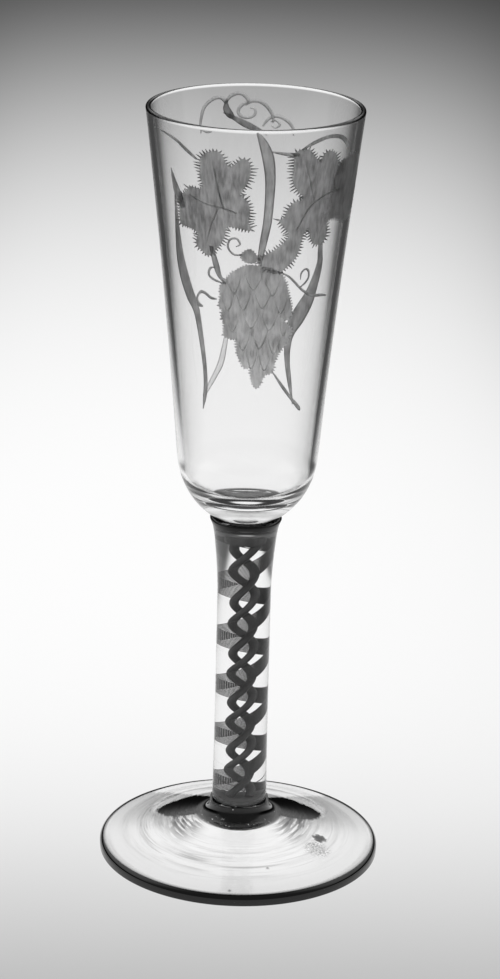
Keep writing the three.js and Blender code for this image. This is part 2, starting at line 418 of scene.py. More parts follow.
def makeClearGlass(name, look, addMarks):
    # addMarks takes the tree and the glass colour, and gives back a colour with painted shade in it, and on
    # the foot darker marks as well
    material, tree, shader = newMaterial(name, clearGlass["settings"])
    height = placeGroup(tree, glassWaves, look["waves"])["Height"]
    addBump(tree, shader, height, look["bump"], clearGlass["bumpDistance"])
    # the glass colour darkens where the surface is seen at a grazing angle: painted shade for the glass's
    # dark edges
    facing = addNode(tree, "ShaderNodeLayerWeight", {"Blend": 0.5}).outputs["Facing"]
    grazingShade = times(maths("POWER", facing, look["edgeShadePower"]), look["edgeShadeDepth"])
    colour = addMarks(tree, mixedColour(grazingShade, clearGlass["body"], look["edge"]))
    tree.links.new(colour, shader.inputs["Base Color"])
    path = addNode(tree, "ShaderNodeLightPath").outputs
    through = maths("ADD", path["Is Shadow Ray"], path["Is Diffuse Ray"], clamp=True)
    airy = fromNode(tree, "ShaderNodeBsdfTransparent")
    mixed = fromNode(tree, "ShaderNodeMixShader", {0: through, 1: shader.outputs[0], 2: airy})
    tree.links.new(mixed, tree.nodes["Material Output"].inputs["Surface"])
    return material


def makeStrokedMaterial(name, greys, strokes, settings):
    # ground glass, enamel or snapped glass: a bump and a grey, darkest to lightest, from fine strokes
    material, tree, shader = newMaterial(name, settings)
    dark, light = (grey(level) for level in greys)
    marks = placeGroup(tree, wheelStrokes, {"Size": strokes["size"], "Dark": dark, "Light": light})
    tree.links.new(marks["Colour"], shader.inputs["Base Color"])
    addBump(tree, shader, marks["Height"], strokes["strength"], strokes["depth"])
    return material


# where two gathers of hot glass became one there is no surface to see
fusedJoint = newMaterial("fusedJoint", {"Alpha": 0.0})[0]


# Geometry Nodes: a profile turned round the axis, and a strand that follows the twist

turning = {
    "rail": 10 * mm,  # radius of the circle that carries the profile
    "mergeWithin": 0.001 * mm,
    "smoothUpTo": 35,  # degrees
    "levelWithin": 0.01 * mm,  # what counts as a level face at a joint
    "levelNormal": 0.9,
}


def newShapeTree(name, inputs):
    return newTree(name, "GeometryNodeTree", inputs, {"Geometry": "Geometry"})


def finishShape(tree, out, geometry, material):
    real = fromNode(tree, "GeometryNodeRealizeInstances", {"Geometry": geometry})
    done = fromNode(tree, "GeometryNodeSetMaterial", {"Geometry": real, "Material": material})
    tree.links.new(done, out["Geometry"])
    return tree


def moveTo(tree, geometry, place):
    return fromNode(tree, "GeometryNodeSetPosition", {"Geometry": geometry, "Position": place})


def circle(tree, sides, radius):
    return fromNode(tree, "GeometryNodeCurvePrimitiveCircle", {"Resolution": sides, "Radius": radius})


def asCurve(tree, line):
    return fromNode(tree, "GeometryNodeMeshToCurve", {"Mesh": line})


def sweep(tree, curve, section, **more):
    inputs = {"Curve": curve, "Profile Curve": section, **more}
    return fromNode(tree, "GeometryNodeCurveToMesh", inputs)


def attribute(tree, name, kind="FLOAT"):
    node = addNode(tree, "GeometryNodeInputNamedAttribute", {"Name": name}, data_type=kind)
    return node.outputs["Attribute"]


def makeTurningTree():
    tree, given, out = newShapeTree("turnOnAxis", {
        "Profile": "Geometry", "Segments": 192, "Rail": 0.01, "Glass": "Material",
    })
    radius, _, height = parts(fromNode(tree, "GeometryNodeInputPosition"))
    laid = asVector(tree, minus(radius, given["Rail"]), times(height, -1.0))
    section = moveTo(tree, asCurve(tree, given["Profile"]), laid)
    turned = sweep(tree, circle(tree, given["Segments"], given["Rail"]), section)
    near = {"Geometry": turned, "Distance": turning["mergeWithin"]}
    merged = fromNode(tree, "GeometryNodeMergeByDistance", near)
    return finishShape(tree, out, merged, given["Glass"])


def makeStrandTree():
    tree, given, out = newShapeTree("twistedStrand", {
        "Axis": "Geometry", "Track": 0.002, "Start": 0.0, "Half Width": 0.0005,
        "Half Thickness": 0.0005, "Sides": 16, "Enamel": "Material",
    })
    girth = attribute(tree, "girth")
    angle = plus(attribute(tree, "turn"), given["Start"])
    outward = asVector(tree, maths("COSINE", angle), maths("SINE", angle))
    reach = times(girth, given["Track"])
    aside = fromNode(tree, "ShaderNodeVectorMath", {0: outward, "Scale": reach}, operation="SCALE")
    stored = fromNode(tree, "GeometryNodeStoreNamedAttribute", {
        "Geometry": given["Axis"], "Name": "outward", "Value": outward,
    }, data_type="FLOAT_VECTOR")
    moved = fromNode(tree, "GeometryNodeSetPosition", {"Geometry": stored, "Offset": aside})
    framed = fromNode(tree, "GeometryNodeSetCurveNormal", {
        "Curve": asCurve(tree, moved), "Normal": attribute(tree, "outward", "FLOAT_VECTOR"),
    }, mode="FREE")
    flattening = asVector(tree, given["Half Thickness"], given["Half Width"], 1.0)
    oval = product(fromNode(tree, "GeometryNodeInputPosition"), flattening)
    section = moveTo(tree, circle(tree, given["Sides"], 1.0), oval)
    swept = sweep(tree, framed, section, **{"Scale": girth, "Fill Caps": True})
    return finishShape(tree, out, swept, given["Enamel"])


turnOnAxis = makeTurningTree()
twistedStrand = makeStrandTree()


def lineObject(name, points, numbers=None):
    # a polyline as a mesh, with a number on every point for each named attribute
    mesh = bpy.data.meshes.new(name)
    mesh.from_pydata([Vector(p) for p in points], [(k, k + 1) for k in range(len(points) - 1)], [])
    for label, values in (numbers or {}).items():
        mesh.attributes.new(label, "FLOAT", "POINT").data.foreach_set("value", values)
    return addObject(name, mesh)


def growMesh(name, seed, tree, values):
    # runs a Geometry Nodes tree on the seed and keeps the result as a plain mesh
    modifier = seed.modifiers.new(tree.name, "NODES")
    modifier.node_group = tree
    for item in tree.interface.items_tree:
        if item.in_out == "INPUT" and item.name in values:
            modifier[item.identifier] = values[item.name]
    evaluated = seed.evaluated_get(bpy.context.evaluated_depsgraph_get())
    mesh = bpy.data.meshes.new_from_object(evaluated)
    mesh.name = name
    seed.modifiers.remove(modifier)
    bpy.data.objects.remove(seed)
    return mesh


def addPiece(name, mesh, nodes=()):
    piece = addObject(name, mesh)
    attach(piece, "root")
    if nodes:
        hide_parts(*nodes)


def joinMeshes(name, meshes):
    shape = bmesh.new()
    for mesh in meshes:
        shape.from_mesh(mesh)
    joined = bpy.data.meshes.new(name)
    shape.to_mesh(joined)
    shape.free()
    for material in meshes[0].materials:
        joined.materials.append(material)
    for mesh in meshes:
        bpy.data.meshes.remove(mesh)
    return joined


def smoothUpTo(mesh, degrees):
    mesh.shade_smooth()
    mesh.set_sharp_from_angle(angle=math.radians(degrees))


def hideJoint(mesh, height, radius):
    # level faces at this height and within this radius are where two pieces are one glass
    mesh.materials.append(fusedJoint)
    for face in mesh.polygons:
        offHeight = abs(face.center.z - height)
        level = offHeight < turning["levelWithin"] and abs(face.normal.z) > turning["levelNormal"]
        if level and math.hypot(face.center.x, face.center.y) < radius:
            face.material_index = len(mesh.materials) - 1


def addTurned(name, profile, material, segments, nodes, joints=()):
    # the profile runs from the axis at the bottom, round the outside and back to the axis
    seed = lineObject(name, [(radius, 0, height) for radius, height in reversed(profile)])
    values = {"Segments": segments, "Rail": turning["rail"], "Glass": material}
    mesh = growMesh(name, seed, turnOnAxis, values)
    smoothUpTo(mesh, turning["smoothUpTo"])
    for height, radius in joints:
        hideJoint(mesh, height, radius)
    addPiece(name, mesh, nodes)


def spaced(start, stop, steps, crowding=1.0):
    return [start + (stop - start) * (k / steps) ** crowding for k in range(steps + 1)]


def arc(middle, wide, high, fromAngle, toAngle, steps):
    # part of an ellipse, with its angles in degrees from the outward direction
    angles = spaced(math.radians(fromAngle), math.radians(toAngle), steps)
    return [(middle[0] + wide * math.cos(angle), middle[1] + high * math.sin(angle)) for angle in angles]


# Bowl

bowl = {
    "neckRadius": 7.8 * mm,
    "shoulderRadius": 17.1 * mm,
    "shoulderRise": 15.5 * mm,
    "shoulderFullness": 2.1,
    "wallBow": 0.41 * mm,
    "shoulderWall": 1.6 * mm,
    "rimWall": 1.3 * mm,
    "baseThickness": 5.5 * mm,
    "floorFullness": 3.2,
    "wallCrowding": 1.6,  # the profile's points lie closer together near the rim
    "wallSteps": 40,
    "shoulderSteps": 24,
    "floorSteps": 40,
    "rimSteps": 12,
    "segments": 224,
    "weldRise": 0.8 * mm,  # how far the painted shade at the weld reaches up under the bowl
    "weldSoftness": 0.08 * mm,
    "weldShadeTint": 0.00002,
    "look": {"edge": 0.2, "edgeShadePower": 4.5, "edgeShadeDepth": 0.9, "bump": 0.12,
             "waves": {"Size": 110.0, "Stretch": 0.25, "Turned": 0.0}},
}
bowl["bottom"] = bowlLow.z
bowl["height"] = bowlHigh.z - bowlLow.z
bowl["mouthRadius"] = bowlHigh.x


def bowlTaper(rise):
    # outer radius of the straight-sided funnel, before it rounds in at the shoulder
    share = (rise - bowl["shoulderRise"]) / (bowl["height"] - bowl["shoulderRise"])
    straight = bowl["shoulderRadius"] + (bowl["mouthRadius"] - bowl["shoulderRadius"]) * share
    return straight - 4 * bowl["wallBow"] * share * (1 - share), share


def roundedIn(depth, wholeDepth, fullness):
    inside = min(max(depth / wholeDepth, 0), 1)
    return max(1 - inside ** fullness, 0) ** (1 / fullness)


def bowlOuter(rise):
    # wholeDepth is where the rounded shoulder would reach the axis if it went on below the neck
    fullness = bowl["shoulderFullness"]
    atNeck = 1 - (bowl["neckRadius"] / bowlTaper(0)[0]) ** fullness
    wholeDepth = bowl["shoulderRise"] / atNeck ** (1 / fullness)
    return bowlTaper(rise)[0] * roundedIn(bowl["shoulderRise"] - rise, wholeDepth, fullness)


def bowlInner(rise):
    taper, share = bowlTaper(rise)
    wall = bowl["shoulderWall"] + (bowl["rimWall"] - bowl["shoulderWall"]) * share
    floorDepth = bowl["shoulderRise"] - bowl["baseThickness"]
    return (taper - wall) * roundedIn(bowl["shoulderRise"] - rise, floorDepth, bowl["floorFullness"])


def bowlProfile():
    shoulder = bowl["shoulderRise"]
    rimStart = bowl["height"] - bowl["rimWall"] / 2
    wallHeights = spaced(rimStart, shoulder, bowl["wallSteps"], bowl["wallCrowding"])
    heights = spaced(0, shoulder, bowl["shoulderSteps"])[:-1] + wallHeights[::-1]
    outline = [(0, 0)] + [(bowlOuter(rise), rise) for rise in heights]
    rimMiddle = (bowlOuter(rimStart) + bowlInner(rimStart)) / 2
    rimHalf = (bowlOuter(rimStart) - bowlInner(rimStart)) / 2
    outline += arc((rimMiddle, rimStart), rimHalf, rimHalf, 0, 180, bowl["rimSteps"])[1:-1]
    outline += [(bowlInner(rise), rise) for rise in wallHeights]
    floorDepth = shoulder - bowl["baseThickness"]
    for angle in spaced(0, math.pi / 2, bowl["floorSteps"])[1:-1]:
        depth = floorDepth * math.sin(angle) ** (2 / bowl["floorFullness"])
        outline.append((bowlInner(shoulder - depth), shoulder - depth))
    outline.append((0, bowl["baseThickness"]))
    return [(radius, bowl["bottom"] + rise) for radius, rise in outline]


def neckShade(tree, clear):
    height = parts(objectPlace(tree))[2]
    # painted shade: the bowl's underside at the weld is tinted nearly black
    onWeld = softStep(height, bowl["bottom"] + bowl["weldRise"], bowl["weldSoftness"])
    return mixedColour(onWeld, clear, bowl["weldShadeTint"])


bowlGlass = makeClearGlass("bowlGlass", bowl["look"], neckShade)
addTurned("bowl_blown", bowlProfile(), bowlGlass, bowl["segments"], ["bowl"],
          [(bowl["bottom"], bowl["neckRadius"] + mm)])
print("stage: bowl")


# Engraving: hops on the front of the bowl and barley on its back, ground with small wheels.
# It is drawn flat and then laid on the wall. A point is degrees to the right of the front and mm of
# height, and a stroke's points also have its width in mm.

cut = {
    "drawnAt": 22 * mm,  # radius at which a degree is as wide as drawn
    "lift": 0.02 * mm,
    "depth": 0.05 * mm,
    "stripWidth": 1.0 * mm,
    "stripHeight": 4.0 * mm,
    "tolerance": 1e-7,  # of the cuts between strips
    "loopSteps": 5,  # points on an outline for each one drawn
    "strokeStep": 0.35 * mm,
    "strokeSides": 8,
    "fringeStep": 0.7 * mm,
    "tickSides": 6,
    "tickTip": 0.12,  # radius of a tick's tip, where its root has 0.5
    "tickChance": (0.45, 1.1),  # shortest and longest, beside the length asked for
    "tickOnLevel": 0.35,  # share of the length that is left where the outline runs level
    "strokes": {"size": 1600.0, "strength": 0.3, "depth": 0.05 * mm},
    "ior": 1.5,
    "finishes": {  # how far the ground surface dims the light, darkest and lightest, and its roughness
        "leafCut": ((0.36, 0.84), 0.55),
        "deepCut": ((0.2, 0.6), 0.55),
        "coneCut": ((0.45, 0.85), 0.5),
        "faintCut": ((0.6, 0.95), 0.4),
        "paleCut": ((0.8, 0.97), 0.35),
    },
}

hopLeafLeft = [
    (-30, 180.5), (-29.5, 182.5), (-25.5, 184), (-20, 184.5), (-17, 183.5), (-15.5, 182), (-13.5, 181),
    (-11, 181.5), (-7, 183), (-4.5, 183), (-2.5, 182), (-2, 180), (-3.5, 177.5), (-7.5, 174.5),
    (-4.5, 173.5), (-2.5, 172), (-2, 170), (-2.5, 168), (-1, 166), (-9, 166.5), (-15, 166.5),
    (-16.5, 164), (-19.5, 162), (-22.5, 160.5), (-27, 159), (-31, 160), (-35, 161.5), (-33.5, 164),
    (-38.5, 165), (-46, 165.5), (-46.5, 168), (-46, 172), (-40, 173.5), (-38, 175), (-31, 175),
    (-29, 176), (-30.5, 178),
]
hopLeafRight = [
    (21, 181.5), (21, 184.5), (25.5, 185), (29.5, 185), (33.5, 183), (37.5, 181.5), (38.5, 183),
    (41.5, 184), (45.5, 183.5), (48.5, 182.5), (51.5, 179.5), (55, 181), (60, 181), (68, 181.5),
    (76, 179), (80, 172), (76, 166), (66, 165.5), (55.5, 167), (47, 167), (48, 165), (47, 162.5),
    (42.5, 161.5), (38, 162), (35, 164), (32.5, 166), (29.5, 163.5), (28, 160.5), (24, 158), (15, 155.5),
    (6, 157.5), (5.5, 159.5), (14, 161.5), (21, 164.5), (17, 167), (14.5, 168.5), (17.5, 169),
    (19.5, 171), (22.5, 172.5), (28.5, 173.5), (24, 175.5), (21, 178),
]
hopLeafShade = [  # painted shade: a second ground layer darkens the right side of the right leaf, where it turns round the wall
    (52, 179), (55, 180.6), (60, 180.6), (68, 181), (75.5, 178.5), (79, 172), (75.5, 166.8), (66, 166.2),
    (56, 167.6), (49, 167.6), (47, 169), (52, 170), (47.5, 171.8), (49, 173.4), (53, 174), (48.5, 176),
    (49, 177.6),
]
hopBud = [(-7, 160), (-1.5, 161.5), (2.5, 160), (5, 159), (0, 158), (-5, 158.5)]
hopCone = [
    (-1.5, 157.5), (-8, 156.5), (-13, 155), (-17, 153), (-19.5, 152), (-19.5, 149.5), (-20.5, 147),
    (-18.5, 146), (-19, 144), (-17, 143), (-17.5, 140), (-12, 139), (-9, 139), (-8.5, 135.5),
    (-5, 133), (-3, 132), (0.5, 132), (1, 130), (2.5, 128), (5, 127), (7.5, 128), (9, 129.5),
    (10, 130.5), (13, 130.5), (15.5, 131), (16.5, 132.5), (18, 135), (21, 136.5), (23.5, 138),
    (27.5, 141), (24.5, 142.4), (17.8, 145.1), (18, 145.6), (24, 143.8), (26.5, 146), (24, 149.5),
    (20.5, 153.5), (17, 155.5), (8, 157),
]

hopVine = {
    "vine": [
        (1, 189.5, 0.4), (4, 187.2, 1.7), (7, 183.5, 2.4), (8.5, 179, 2.2), (8.7, 174, 2.0), (8, 168, 1.9),
        (6.3, 163.5, 1.7), (5, 160, 1.3), (4.5, 157.5, 0.5)],
}
hopStrokes = {
    "spur": [(-51.5, 178.5, 0.3), (-49.5, 175.5, 1.5), (-46.5, 172, 2.4), (-43, 169.5, 1.2)],
    "tieLeft": [
        (-61.5, 187, 0.3), (-53, 186.5, 0.6), (-45, 185.5, 0.8), (-37.5, 183.5, 0.9), (-32, 182, 0.5)],
    "tieRight": [(9, 185, 0.4), (14.5, 184.5, 0.7), (21, 184, 0.9), (24, 184, 0.3)],
    "arch": [
        (24.5, 185, 0.4), (31.5, 186.5, 0.9), (40.5, 187.5, 0.9), (49.5, 187, 1.0), (56.5, 185, 1.1),
        (61.5, 181.5, 0.5)],
    "leafStalk": [(-25, 161.5, 1.0), (-22, 157, 1.5), (-20, 154.5, 1.1), (-16, 152.5, 0.3)],
    "budTendril": [
        (-5.5, 160, 0.4), (-11, 160, 0.5), (-14.4, 161.6, 0.5), (-13.3, 163.5, 0.5), (-9.5, 163.9, 0.5),
        (-7.3, 162.6, 0.45), (-9.8, 161.9, 0.2)],
    "curlLeft": [
        (-17, 152.6, 0.3), (-23.5, 153.3, 0.6), (-27, 154.3, 0.6), (-26, 156, 0.55), (-22.5, 156.4, 0.2)],
    "tendrilRight": [
        (15.5, 156, 0.2), (23, 154.5, 0.5), (31, 151.5, 0.6), (36, 150, 0.65), (41, 149, 0.7),
        (50, 148.5, 0.7), (55.5, 148, 0.3)],
    "curlRight": [
        (31, 151.5, 0.3), (34.5, 152.4, 0.55), (37, 153.7, 0.55), (36.5, 155.3, 0.55), (34, 155.9, 0.5),
        (31.3, 155, 0.5), (31.2, 153.4, 0.2)],
    "awn": [(15, 131.4, 0.3), (24, 127, 0.8), (31, 124, 0.8), (39, 121, 1.0), (41, 120.2, 0.3)],
}
bracts = [  # degrees to the right, height and half width of each bract of the cone
    (-11, 153, 5), (1, 154, 6), (13, 152.5, 5), (-15, 148.5, 4.5), (-5, 149, 5), (7, 149.5, 6),
    (19, 148, 5), (-12, 143.5, 5), (0, 144.5, 6), (12, 144, 6), (22, 142.5, 4), (-5, 139, 5),
    (6, 139.5, 5.5), (16, 138, 5), (1, 134.5, 4), (10, 134, 4.5),
]
bractShape = [(-0.9, 2.0, 0.05), (-0.65, -0.2, 0.16), (0, -2.6, 0.3), (0.65, -0.2, 0.16), (0.9, 2.0, 0.05)]
coneScales = [  # long pointed bracts that overlap like tiles
    [(middle + half * aside, height + rise, width) for aside, rise, width in bractShape]
    for middle, height, half in bracts
]
leafVeins = {
    "veinLeft": [(-38, 173, 0.2), (-27, 171.5, 0.35), (-17, 171, 0.45), (-9, 170, 0.3)],
    "veinLeftUp": [(-17, 171, 0.4), (-20, 176, 0.3), (-22, 181, 0.15)],
    "veinLeftDown": [(-20, 171, 0.4), (-25, 166, 0.3), (-28, 162, 0.15)],
    "veinRight": [(26, 166, 0.3), (33, 171, 0.4), (44, 173.5, 0.4), (57, 174, 0.2)],
    "veinRightUp": [(36, 172, 0.4), (32, 177, 0.3), (28, 182, 0.15)],
}
barleyBlades = {
    "bladeLeft": [
        (240.5, 168, 0.3), (241.5, 157, 2.4), (241, 151, 3.6), (238, 146.5, 4.0), (232, 141, 3.5),
        (225.5, 136.5, 2.5), (222, 130, 1.9), (219.5, 123, 1.6), (219, 118, 1.6), (220.5, 114.5, 1.6),
        (223, 111.5, 0.4)],
    "bladeRight": [
        (129, 162, 0.4), (126.5, 153, 2.0), (125, 149, 2.6), (128.5, 144, 3.3), (133.5, 139.5, 4.2),
        (141.5, 135, 4.5), (148, 131, 3.5), (149.5, 127.5, 2.5), (148.5, 123, 1.9), (145, 118.5, 1.7),
        (139.5, 113, 0.4)],
    "curlBack": [
        (218.5, 136.8, 0.5), (222.5, 137.6, 1.0), (223.7, 139.3, 0.8), (220, 140.4, 0.8),
        (216, 139.9, 0.7), (211, 138.5, 0.7), (206, 138, 0.3)],
    "thornMouth": [
        (198.5, 183, 0.3), (192, 181.5, 1.1), (185.5, 180, 1.6), (178, 178.6, 1.1), (173, 177.6, 0.2)],
    "blotMouth": [(196.5, 185.8, 0.4), (196.8, 184, 1.5), (194.5, 182.3, 1.6), (191.5, 181.3, 0.4)],
}
mouthLoops = {
    "loopFirst": [
        (214, 178.5, 0.3), (212.5, 182, 0.7), (210, 184.6, 0.8), (205, 186.2, 0.8), (200, 186.5, 0.8),
        (196.5, 185.3, 1.0)],
    "loopSecond": [
        (197.5, 185, 0.6), (194.5, 186.7, 0.8), (190, 187.4, 0.8), (186.5, 186.9, 0.8),
        (183.5, 185.2, 0.8)],
    "loopThird": [
        (186, 184.6, 0.4), (182, 185.6, 0.8), (177.5, 185.4, 0.8), (173.5, 184.2, 0.8),
        (170.5, 182.3, 0.7), (170, 180.5, 0.3)],
    "loopFourth": [
        (176, 179.6, 0.4), (172.5, 181.5, 0.7), (168, 182.2, 0.8), (163, 181.6, 0.8), (158.5, 180, 0.7),
        (157, 178, 0.3)],
    "curlMouth": [
        (183.5, 185.4, 0.5), (187.5, 184.7, 0.7), (190, 183.3, 0.7), (188.5, 182, 0.7),
        (184.5, 181.6, 0.7), (180.8, 182.2, 0.6), (180.6, 183.6, 0.5), (183.3, 184, 0.3)],
    "curlSmall": [
        (171.5, 180.8, 0.4), (168.5, 181.2, 0.5), (166, 180.2, 0.5), (168.5, 179.4, 0.4),
        (171, 179.9, 0.2)],
    "dashMouth": [(213, 179.2, 0.3), (209, 178.8, 1.0), (205, 179, 0.3)],
}
paleBlades = {
    "bladePale": [
        (197.5, 131, 1.0), (203, 123, 1.9), (209, 119.5, 1.7), (215, 117, 1.5), (221.5, 114.5, 0.8)],
}
fringes = {  # length and width of the strokes that run out past an outline, in mm
    "leaf": (1.5, 0.6),
    "cone": (0.8, 0.8),
    "bud": (0.4, 0.5),
    "shade": (2.6, 0.5),
}


def makeCutTree():
    # a line swept with a flat oval, as wide at each point as its width says
    tree, given, out = newShapeTree("wheelCut", {
        "Line": "Geometry", "Step": 0.0004, "Depth": 0.00005, "Ground": "Material",
    })
    curve = {"Curve": asCurve(tree, given["Line"])}
    smooth = fromNode(tree, "GeometryNodeCurveSplineType", curve, spline_type="CATMULL_ROM")
    steps = {"Curve": smooth, "Length": given["Step"]}
    stepped = fromNode(tree, "GeometryNodeResampleCurve", steps, mode="LENGTH")
    level = fromNode(tree, "GeometryNodeSetCurveNormal", {"Curve": stepped}, mode="Z_UP")
    ring = circle(tree, cut["strokeSides"], 0.5)
    swept = sweep(tree, level, ring, **{"Scale": attribute(tree, "width"), "Fill Caps": True})
    x, y, z = parts(fromNode(tree, "GeometryNodeInputPosition"))
    atSide = maths("LESS_THAN", absolute(z), 0.01 * mm)
    flatZ = times(maths("SIGN", z), given["Depth"], minus(1.0, atSide))
    pressed = moveTo(tree, swept, asVector(tree, x, y, flatZ))
    return finishShape(tree, out, pressed, given["Ground"])


def makeFringeTree():
    # short tapering cuts side by side that run out from an outline, longest where it runs upright
    tree, given, out = newShapeTree("fringeOfCuts", {
        "Line": "Geometry", "Step": 0.0007, "Long": 0.002, "Wide": 0.0003, "Depth": 0.00005,
        "Seed": 5, "Ground": "Material",
    })
    steps = {"Curve": asCurve(tree, given["Line"]), "Length": given["Step"]}
    spread = addNode(tree, "GeometryNodeCurveToPoints", steps, mode="LENGTH").outputs
    alongX, alongY, _ = parts(spread["Tangent"])
    tick = fromNode(tree, "GeometryNodeMeshCone", {
        "Vertices": cut["tickSides"], "Radius Top": cut["tickTip"], "Radius Bottom": 0.5, "Depth": 1.0,
    })
    lying = fromNode(tree, "GeometryNodeTransform", {"Geometry": tick, "Rotation": (0.0, math.pi / 2, 0.0)})
    shortest, longest = cut["tickChance"]
    chance = addNode(tree, "FunctionNodeRandomValue", {
        2: shortest, 3: longest, "Seed": given["Seed"],
    }, data_type="FLOAT").outputs[1]
    uprightShare = scaled(absolute(alongY), 1 - cut["tickOnLevel"], cut["tickOnLevel"])
    length = times(given["Long"], chance, uprightShare)
    turn = asVector(tree, z=maths("ARCTAN2", alongX, times(alongY, -1.0)))
    row = fromNode(tree, "GeometryNodeInstanceOnPoints", {
        "Points": spread["Points"], "Instance": lying, "Rotation": turn,
        "Scale": asVector(tree, length, given["Wide"], times(given["Depth"], 2.0)),
    })
    return finishShape(tree, out, row, given["Ground"])


wheelCut = makeCutTree()
fringeOfCuts = makeFringeTree()
ground = {
    name: makeStrokedMaterial(name, greys, cut["strokes"], {
        "Transmission Weight": 1.0, "IOR": cut["ior"], "Roughness": roughness,
    })
    for name, (greys, roughness) in cut["finishes"].items()
}


def drawnFlat(turn, height):
    return Vector((math.radians(turn) * cut["drawnAt"], height * mm, 0))


def smoothLoop(outline):
    # a round line through all the points and back to the first
    points = [drawnFlat(*point) for point in outline]
    count = len(points)
    loop = []
    for k in range(count):
        before, start, end, after = (points[(k + n) % count] for n in (-1, 0, 1, 2))
        for step in range(cut["loopSteps"]):
            t = step / cut["loopSteps"]
            loop.append(0.5 * (2 * start + (end - before) * t
                               + (2 * before - 5 * start + 4 * end - after) * t ** 2
                               + (3 * start - before - 3 * end + after) * t ** 3))
    return loop


def groundArea(outline, finish):
    # a thin closed sheet with this outline, cut into strips so that it can bend round the wall
    shape = bmesh.new()
    shape.faces.new([shape.verts.new(point) for point in smoothLoop(outline)])
    lows = [min(v.co[axis] for v in shape.verts) for axis in (0, 1)]
    highs = [max(v.co[axis] for v in shape.verts) for axis in (0, 1)]
    for axis, width in ((0, cut["stripWidth"]), (1, cut["stripHeight"])):
        normal = Vector((0, 0, 0))
        normal[axis] = 1
        for k in range(1, int((highs[axis] - lows[axis]) / width) + 1):
            everything = shape.verts[:] + shape.edges[:] + shape.faces[:]
            bmesh.ops.bisect_plane(shape, geom=everything, plane_co=normal * (lows[axis] + k * width),
                                   plane_no=normal, dist=cut["tolerance"])
    raised = bmesh.ops.extrude_face_region(shape, geom=shape.faces[:], use_keep_orig=True)["geom"]
    for vert in (item for item in raised if isinstance(item, bmesh.types.BMVert)):
        vert.co.z = cut["depth"]
    bmesh.ops.recalc_face_normals(shape, faces=shape.faces[:])
    mesh = bpy.data.meshes.new("area")
    shape.to_mesh(mesh)
    shape.free()
    mesh.materials.append(ground[finish])
    return mesh


def cutStrokes(strokes, finish):
    meshes = []
    for points in strokes:
        line = lineObject("stroke", [drawnFlat(turn, height) for turn, height, _ in points],
                          {"width": [width * mm for _, _, width in points]})
        meshes.append(growMesh("stroke", line, wheelCut, {
            "Step": cut["strokeStep"], "Depth": cut["depth"] / 2, "Ground": ground[finish],
        }))
    return meshes


def fringe(outline, kind, finish):
    # the fringe tree takes its outline clockwise
    loop = smoothLoop(outline)
    area = sum(a.x * b.y - b.x * a.y for a, b in zip(loop, loop[1:] + loop[:1]))
    if area > 0:
        loop.reverse()
    length, width = fringes[kind]
    return growMesh(kind, lineObject(kind, loop + loop[:1]), fringeOfCuts, {
        "Step": cut["fringeStep"], "Long": length * mm, "Wide": width * mm,
        "Depth": cut["depth"] / 2, "Ground": ground[finish],
    })


def layOnWall(mesh, lift):
    for vertex in mesh.vertices:
        x, height, z = vertex.co
        radius = bowlOuter(height - bowl["bottom"]) + lift + z
        angle = x / cut["drawnAt"]
        vertex.co = (radius * math.sin(angle), -radius * math.cos(angle), height)
    return mesh


def engrave(name, meshes, lift=0.0):
    addPiece(name, layOnWall(joinMeshes(name, meshes), cut["lift"] + lift))


strokeLift = cut["depth"] / 2
veinLift = cut["depth"] * 1.5
engrave("hop_leaf_left", [groundArea(hopLeafLeft, "leafCut")])
engrave("hop_leaf_right", [groundArea(hopLeafRight, "leafCut")])
engrave("hop_leaf_fringes",
        [fringe(outline, "leaf", "deepCut") for outline in (hopLeafLeft, hopLeafRight)], strokeLift)
engrave("hop_cone", [groundArea(hopCone, "coneCut")])
engrave("hop_bud", [groundArea(hopBud, "leafCut")])
engrave("hop_cone_fringe",
        [fringe(hopCone, "cone", "coneCut"), fringe(hopBud, "bud", "coneCut")], strokeLift)
engrave("hop_cone_scales", cutStrokes(coneScales, "paleCut"), veinLift)
engrave("hop_leaf_veins", cutStrokes(leafVeins.values(), "coneCut"), veinLift)
# a second layer over the right leaf's right side: painted shade
engrave("hop_leaf_shade",
        [groundArea(hopLeafShade, "coneCut"), fringe(hopLeafShade, "shade", "coneCut")], veinLift)
for name, strokes, finish in (
    ("hop_vine", hopVine, "coneCut"),
    ("hop_tendrils", hopStrokes, "leafCut"),
    ("barley_blades", barleyBlades, "deepCut"),
    ("barley_loops", mouthLoops, "faintCut"),
    ("barley_blade_pale", paleBlades, "paleCut"),
):
    engrave(name, cutStrokes(strokes.values(), finish), strokeLift)
print("stage: engraving")


# Stem

stem = {
    "waistRadius": 6.6 * mm,
    "topRadius": 8.25 * mm,
    "lip": 1.1 * mm,  # how far the flare would stand out at the top if its edge weren't rounded
    "lipDepth": 1.5 * mm,
    "footEndRadius": 6.8 * mm,
    "flareLength": 20 * mm,
    "flarePower": 1.6,
    "swellLength": 27 * mm,
    "topRound": 0.8 * mm,
    "bottomRound": 0.6 * mm,
    "sideSteps": 60,
    "roundSteps": (7, 8),  # bottom and top
    "segments": 192,
    "weldLow": 87.0 * mm,  # the weld under the bowl turns light away; its dark band is painted shade
    "weldLowAside": 84.6 * mm,  # it reaches further down at the sides
    "weldHigh": 88.65 * mm,
    "weldSoftness": 0.05 * mm,
    "weldShadeTint": 0.00002,
    "look": {"edge": 0.5, "edgeShadePower": 4.0, "edgeShadeDepth": 0.8, "bump": 0.06,
             "waves": {"Size": 140.0, "Stretch": 0.2, "Turned": 0.0}},
}
stem["bottom"] = stemLow.z
stem["top"] = stemHigh.z


